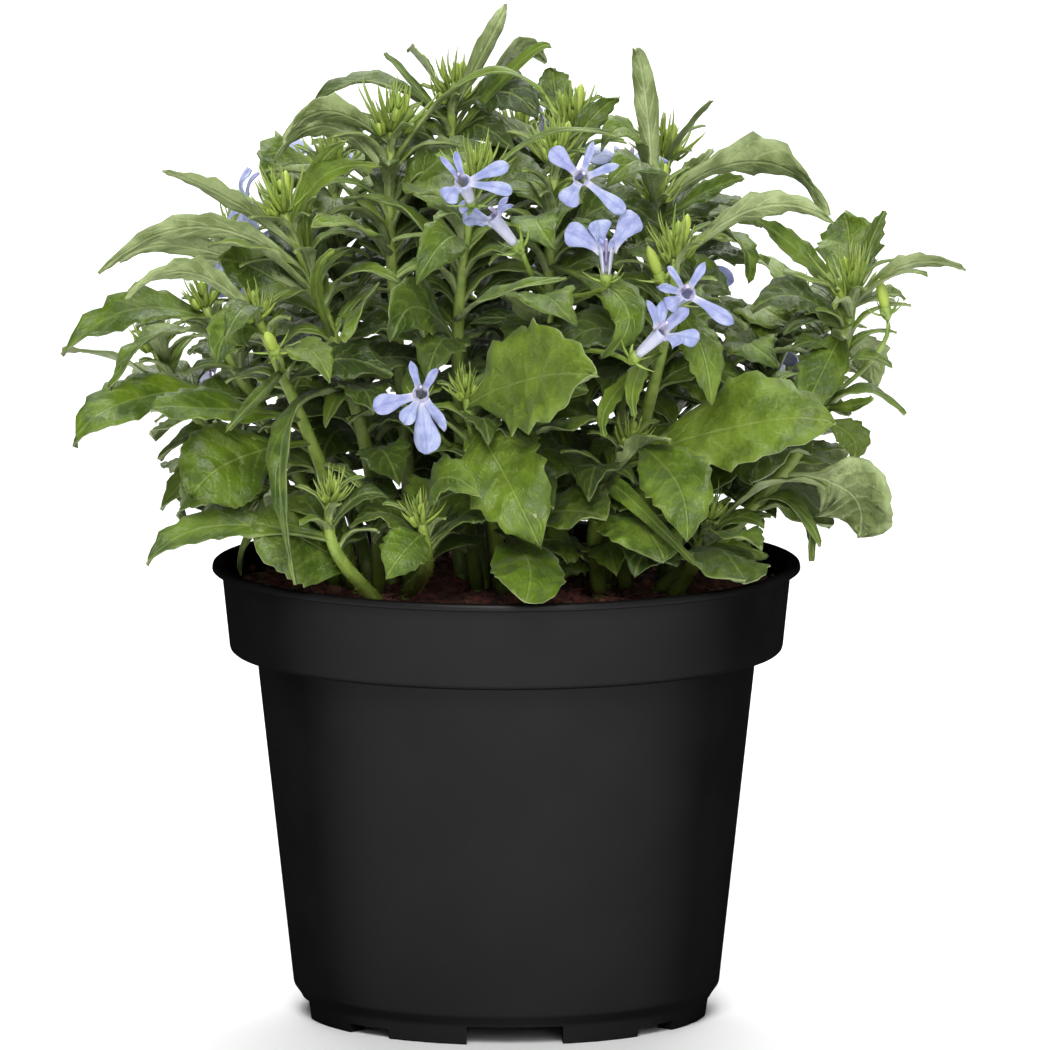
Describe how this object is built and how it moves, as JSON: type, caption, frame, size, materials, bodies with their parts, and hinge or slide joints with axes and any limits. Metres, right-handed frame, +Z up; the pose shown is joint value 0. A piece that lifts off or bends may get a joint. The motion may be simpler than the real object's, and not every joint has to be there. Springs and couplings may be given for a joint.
{
  "type": "potted trailing lobelia",
  "caption": "Trailing lobelia in a round tapered nursery pot: leafy toothed stems rise from peat, lean out over the rim and carry small pale blue blooms.",
  "frame": {"origin": "on the ground at the pot's axis, level with the feet that the pot stands on", "axes": "+Z up along the pot's axis, -Y towards the plant's front, +X to the right of someone who looks at the front"},
  "size_m": [0.1841, 0.1517, 0.206],
  "materials": {
    "plastic": "satin black injection-moulded polypropylene with a fine grain",
    "peat": "dark red-brown crumbly peat compost, moist and matt",
    "greenery": "satin mid-green leaves with paler undersides, veins and toothed edges on pale green ribbed stems",
    "petals": "soft matt pale lavender-blue petals with a whitish tube and a violet throat"
  },
  "bodies": {
    "root": {"pot": "plastic", "soil": "peat", "stem_01": "greenery", "stem_02": "greenery", "stem_03": "greenery", "stem_04": "greenery", "stem_05": "greenery", "stem_06": "greenery", "stem_07": "greenery", "stem_08": "greenery", "stem_09": "greenery", "stem_10": "greenery", "stem_11": "greenery", "stem_12": "greenery", "stem_13": "greenery", "stem_14": "greenery", "stem_15": "greenery", "stem_16": "greenery", "stem_17": "greenery", "stem_18": "greenery", "stem_19": "greenery", "stem_20": "greenery", "stem_21": "greenery", "stem_22": "greenery", "stem_23": "greenery", "stem_24": "greenery", "stem_25": "greenery", "stem_26": "greenery", "bloom_01": "petals", "bloom_02": "petals", "bloom_03": "petals", "bloom_04": "petals", "bloom_05": "petals", "bloom_06": "petals", "bloom_07": "petals", "bloom_08": "petals", "bloom_09": "petals", "bloom_10": "petals", "bloom_11": "petals", "bloom_12": "petals", "bloom_13": "petals", "bloom_14": "petals", "bloom_15": "petals", "bloom_16": "petals", "bloom_17": "petals", "bloom_18": "petals", "bloom_19": "petals", "bloom_20": "petals", "bloom_21": "petals"}
  },
  "joints": []
}
